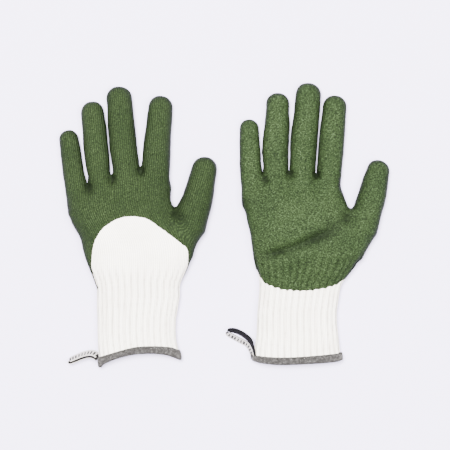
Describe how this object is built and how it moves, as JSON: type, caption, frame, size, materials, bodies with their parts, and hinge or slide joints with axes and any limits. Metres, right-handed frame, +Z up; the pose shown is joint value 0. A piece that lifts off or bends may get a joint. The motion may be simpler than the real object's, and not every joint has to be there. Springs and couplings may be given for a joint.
{
  "type": "pair of dipped work gloves",
  "caption": "Pair of knitted work gloves with a crinkled latex dip on the palm and fingers, white back panel, ribbed elastic cuff, overlocked hem and a hang loop.",
  "frame": {"origin": "centre of the pair's footprint on the floor", "axes": "+X to the right across the pair (left-hand glove on -X, right-hand glove on +X), +Y towards the fingertips, +Z up from the floor; left-hand glove lies back up, right-hand glove palm up"},
  "size_m": [0.2938, 0.254, 0.0267],
  "materials": {
    "coating": "crinkled latex",
    "liner": "plain knit",
    "cuff": "rib knit",
    "hem": "overlocked thread",
    "tape": "woven tape",
    "elastic": "covered elastic yarn",
    "thread": "bar tack thread"
  },
  "bodies": {
    "left_hand": {"left_palm_coating": "coating", "left_palm_liner": "liner", "left_knit_cuff": "cuff", "left_cuff_hem": "hem", "left_cuff_elastic": "elastic", "left_loop_tack": "thread"},
    "left_loop": {"left_loop_tape": "tape"},
    "right_hand": {"right_palm_coating": "coating", "right_palm_liner": "liner", "right_knit_cuff": "cuff", "right_cuff_hem": "hem", "right_cuff_elastic": "elastic", "right_loop_tack": "thread"},
    "right_loop": {"right_loop_tape": "tape"},
    "left_index_lower": {"left_index_lower_coating": "coating", "left_index_lower_liner": "liner"},
    "left_index_upper": {"left_index_upper_coating": "coating", "left_index_upper_liner": "liner"},
    "left_middle_lower": {"left_middle_lower_coating": "coating", "left_middle_lower_liner": "liner"},
    "left_middle_upper": {"left_middle_upper_coating": "coating", "left_middle_upper_liner": "liner"},
    "left_ring_lower": {"left_ring_lower_coating": "coating", "left_ring_lower_liner": "liner"},
    "left_ring_upper": {"left_ring_upper_coating": "coating", "left_ring_upper_liner": "liner"},
    "left_little_lower": {"left_little_lower_coating": "coating", "left_little_lower_liner": "liner"},
    "left_little_upper": {"left_little_upper_coating": "coating", "left_little_upper_liner": "liner"},
    "left_thumb_lower": {"left_thumb_lower_coating": "coating", "left_thumb_lower_liner": "liner"},
    "left_thumb_upper": {"left_thumb_upper_coating": "coating", "left_thumb_upper_liner": "liner"},
    "right_index_lower": {"right_index_lower_coating": "coating", "right_index_lower_liner": "liner"},
    "right_index_upper": {"right_index_upper_coating": "coating", "right_index_upper_liner": "liner"},
    "right_middle_lower": {"right_middle_lower_coating": "coating", "right_middle_lower_liner": "liner"},
    "right_middle_upper": {"right_middle_upper_coating": "coating", "right_middle_upper_liner": "liner"},
    "right_ring_lower": {"right_ring_lower_coating": "coating", "right_ring_lower_liner": "liner"},
    "right_ring_upper": {"right_ring_upper_coating": "coating", "right_ring_upper_liner": "liner"},
    "right_little_lower": {"right_little_lower_coating": "coating", "right_little_lower_liner": "liner"},
    "right_little_upper": {"right_little_upper_coating": "coating", "right_little_upper_liner": "liner"},
    "right_thumb_lower": {"right_thumb_lower_coating": "coating", "right_thumb_lower_liner": "liner"},
    "right_thumb_upper": {"right_thumb_upper_coating": "coating", "right_thumb_upper_liner": "liner"}
  },
  "joints": [
    {"name": "left_index_knuckle", "type": "hinge", "parent": "left_hand", "child": "left_index_lower", "pos_m": [-0.06076, 0.06151, 0], "axis": [-0.9972, 0.075, 0], "range_deg": [0, 75]},
    {"name": "left_index_bend", "type": "hinge", "parent": "left_index_lower", "child": "left_index_upper", "pos_m": [-0.05892, 0.08594, 0], "axis": [-0.9972, 0.075, 0], "range_deg": [0, 80]},
    {"name": "left_middle_knuckle", "type": "hinge", "parent": "left_hand", "child": "left_middle_lower", "pos_m": [-0.0888, 0.0615, 0], "axis": [-0.9956, -0.0941, 0], "range_deg": [0, 75]},
    {"name": "left_middle_bend", "type": "hinge", "parent": "left_middle_lower", "child": "left_middle_upper", "pos_m": [-0.0913, 0.08788, 0], "axis": [-0.9956, -0.0941, 0], "range_deg": [0, 80]},
    {"name": "left_ring_knuckle", "type": "hinge", "parent": "left_hand", "child": "left_ring_lower", "pos_m": [-0.11214, 0.05481, 0], "axis": [-0.9947, -0.1024, 0], "range_deg": [0, 75]},
    {"name": "left_ring_bend", "type": "hinge", "parent": "left_ring_lower", "child": "left_ring_upper", "pos_m": [-0.11465, 0.07918, 0], "axis": [-0.9947, -0.1024, 0], "range_deg": [0, 80]},
    {"name": "left_little_knuckle", "type": "hinge", "parent": "left_hand", "child": "left_little_lower", "pos_m": [-0.13391, 0.04578, 0], "axis": [-0.9905, -0.1378, 0], "range_deg": [0, 75]},
    {"name": "left_little_bend", "type": "hinge", "parent": "left_little_lower", "child": "left_little_upper", "pos_m": [-0.13632, 0.06311, 0], "axis": [-0.9905, -0.1378, 0], "range_deg": [0, 80]},
    {"name": "left_thumb_knuckle", "type": "hinge", "parent": "left_hand", "child": "left_thumb_lower", "pos_m": [-0.02684, 0.01773, 0], "axis": [-0.9642, 0.2652, 0], "range_deg": [0, 45]},
    {"name": "left_thumb_bend", "type": "hinge", "parent": "left_thumb_lower", "child": "left_thumb_upper", "pos_m": [-0.02127, 0.03798, 0], "axis": [-0.9642, 0.2652, 0], "range_deg": [0, 60]},
    {"name": "right_index_knuckle", "type": "hinge", "parent": "right_hand", "child": "right_index_lower", "pos_m": [0.09445, 0.05928, 0.01695], "axis": [0.9964, -0.0845, 0], "range_deg": [0, 75]},
    {"name": "right_index_bend", "type": "hinge", "parent": "right_index_lower", "child": "right_index_upper", "pos_m": [0.09652, 0.08369, 0.01686], "axis": [0.9964, -0.0845, 0], "range_deg": [0, 80]},
    {"name": "right_middle_knuckle", "type": "hinge", "parent": "right_hand", "child": "right_middle_lower", "pos_m": [0.07005, 0.05929, 0.01739], "axis": [0.9973, -0.0732, 0], "range_deg": [0, 75]},
    {"name": "right_middle_bend", "type": "hinge", "parent": "right_middle_lower", "child": "right_middle_upper", "pos_m": [0.07199, 0.08572, 0.01732], "axis": [0.9973, -0.0732, 0], "range_deg": [0, 80]},
    {"name": "right_ring_knuckle", "type": "hinge", "parent": "right_hand", "child": "right_ring_lower", "pos_m": [0.04538, 0.0593, 0.01702], "axis": [0.9989, -0.0469, 0], "range_deg": [0, 75]},
    {"name": "right_ring_bend", "type": "hinge", "parent": "right_ring_lower", "child": "right_ring_upper", "pos_m": [0.04656, 0.08428, 0.01699], "axis": [0.9989, -0.0469, 0], "range_deg": [0, 80]},
    {"name": "right_little_knuckle", "type": "hinge", "parent": "right_hand", "child": "right_little_lower", "pos_m": [0.02332, 0.05347, 0.01376], "axis": [0.9993, 0.037, 0], "range_deg": [0, 75]},
    {"name": "right_little_bend", "type": "hinge", "parent": "right_little_lower", "child": "right_little_upper", "pos_m": [0.02265, 0.07146, 0.01363], "axis": [0.9993, 0.037, 0], "range_deg": [0, 80]},
    {"name": "right_thumb_knuckle", "type": "hinge", "parent": "right_hand", "child": "right_thumb_lower", "pos_m": [0.12721, 0.01499, 0.01883], "axis": [0.9622, -0.2724, 0], "range_deg": [0, 45]},
    {"name": "right_thumb_bend", "type": "hinge", "parent": "right_thumb_lower", "child": "right_thumb_upper", "pos_m": [0.13293, 0.03519, 0.01831], "axis": [0.9622, -0.2724, 0], "range_deg": [0, 60]},
    {"name": "left_loop_flip", "type": "hinge", "parent": "left_hand", "child": "left_loop", "pos_m": [-0.11734, -0.11696, 0.0088], "axis": [-0.1908, 0.9816, 0], "range_deg": [0, 70]},
    {"name": "right_loop_flip", "type": "hinge", "parent": "right_hand", "child": "right_loop", "pos_m": [0.02186, -0.11236, 0.0088], "axis": [0.6428, 0.766, 0], "range_deg": [0, 70]},
    {"name": "right_glove_lift", "type": "slide", "parent": "left_hand", "child": "right_hand", "axis": [0, 0, 1], "range_m": [0, 0.15]}
  ]
}
